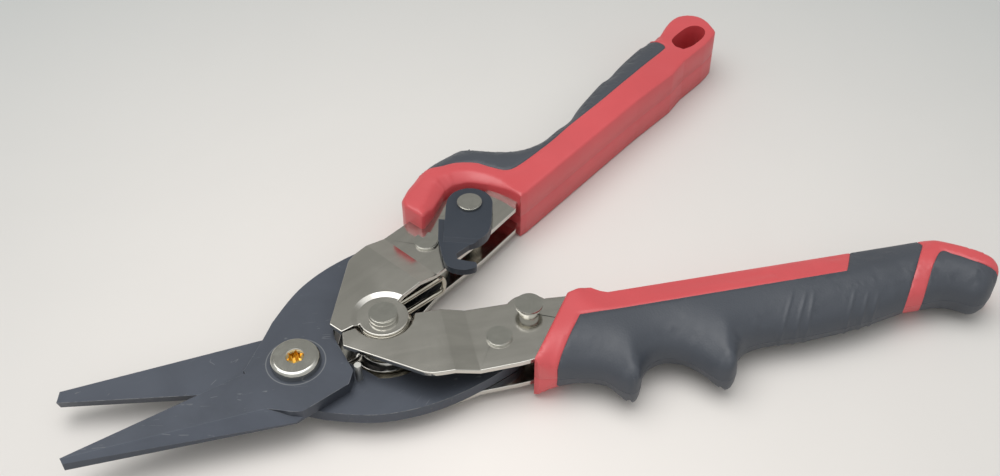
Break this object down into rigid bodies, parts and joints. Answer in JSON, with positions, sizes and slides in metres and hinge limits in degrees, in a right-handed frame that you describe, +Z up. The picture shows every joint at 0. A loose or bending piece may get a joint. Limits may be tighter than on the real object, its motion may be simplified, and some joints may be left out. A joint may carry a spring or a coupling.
{
  "type": "aviation snips",
  "caption": "Straight-cut compound-action aviation snips with black forged blades, bright pressed frames, a hook latch and red and black grips, sprung open.",
  "frame": {"origin": "on the main pivot's axis, on the plane the tool lies on", "axes": "+X from the main pivot to the handles along the linkage's centre line, +Z up out of the plane the tool lies on, +Y to the upper handle's side"},
  "size_m": [0.2438, 0.1476, 0.0189],
  "materials": {
    "black_steel": "satin black oxide on forged steel",
    "nickel_plate": "bright nickel plate on pressed sheet",
    "bright_steel": "bright nickel plate on turned steel",
    "zinc_steel": "zinc plated",
    "spring_wire": "bright spring wire",
    "black_plastic": "fine satin",
    "red_plastic": "semi-gloss moulded",
    "soft_black": "matte soft-touch"
  },
  "bodies": {
    "lower_handle": {"lower_front_plate": "nickel_plate", "lower_back_plate": "nickel_plate", "handle_pivot_pin": "bright_steel", "pivot_sleeve": "zinc_steel", "torsion_spring": "spring_wire", "lower_blade_rivet": "bright_steel", "lower_rivet_washer": "zinc_steel", "lock_post": "bright_steel", "lock_post_spacer": "zinc_steel", "lower_tang_rivets": "zinc_steel", "lower_grip_body": "red_plastic", "lower_grip_cover": "soft_black", "lower_end_pad": "soft_black"},
    "upper_handle": {"upper_front_plate": "nickel_plate", "upper_back_plate": "nickel_plate", "upper_blade_rivet": "bright_steel", "upper_rivet_washer": "zinc_steel", "latch_washer": "zinc_steel", "latch_rivet": "bright_steel", "upper_tang_rivets": "zinc_steel", "upper_grip_body": "red_plastic", "upper_grip_insert": "soft_black"},
    "latch": {"latch_lever": "black_plastic"},
    "rear_blade_body": {"rear_blade": "black_steel", "stop_pin": "zinc_steel", "pivot_bolt": "bright_steel", "pivot_washer": "zinc_steel", "pivot_nut": "zinc_steel"},
    "front_blade_body": {"front_blade": "black_steel"}
  },
  "joints": [
    {"name": "handle_pivot", "type": "hinge", "parent": "lower_handle", "child": "upper_handle", "pos_m": [0.02544, 0, 0.0084], "axis": [0, 0, -1], "range_deg": [0, 35], "stiffness_Nm_per_rad": 0.8, "springref_deg": -34.38, "deforming": ["torsion_spring"]},
    {"name": "rear_blade_pivot", "type": "hinge", "parent": "lower_handle", "child": "rear_blade_body", "pos_m": [0.04889, -0.02071, 0.0084], "axis": [0, 0, -1], "range_deg": [0, 8.4]},
    {"name": "main_pivot", "type": "hinge", "parent": "rear_blade_body", "child": "front_blade_body", "pos_m": [0, 0, 0.0084], "axis": [0, 0, -1], "range_deg": [0, 18.25]},
    {"name": "latch_pivot", "type": "hinge", "parent": "upper_handle", "child": "latch", "pos_m": [0.06567, 0.02537, 0.0084], "axis": [0, 0, 1], "range_deg": [0, 21.6]}
  ],
  "couplings": [
    {"joint": "rear_blade_pivot", "follows": "handle_pivot", "ratio": 0.23941},
    {"joint": "main_pivot", "follows": "handle_pivot", "ratio": 0.52119}
  ]
}
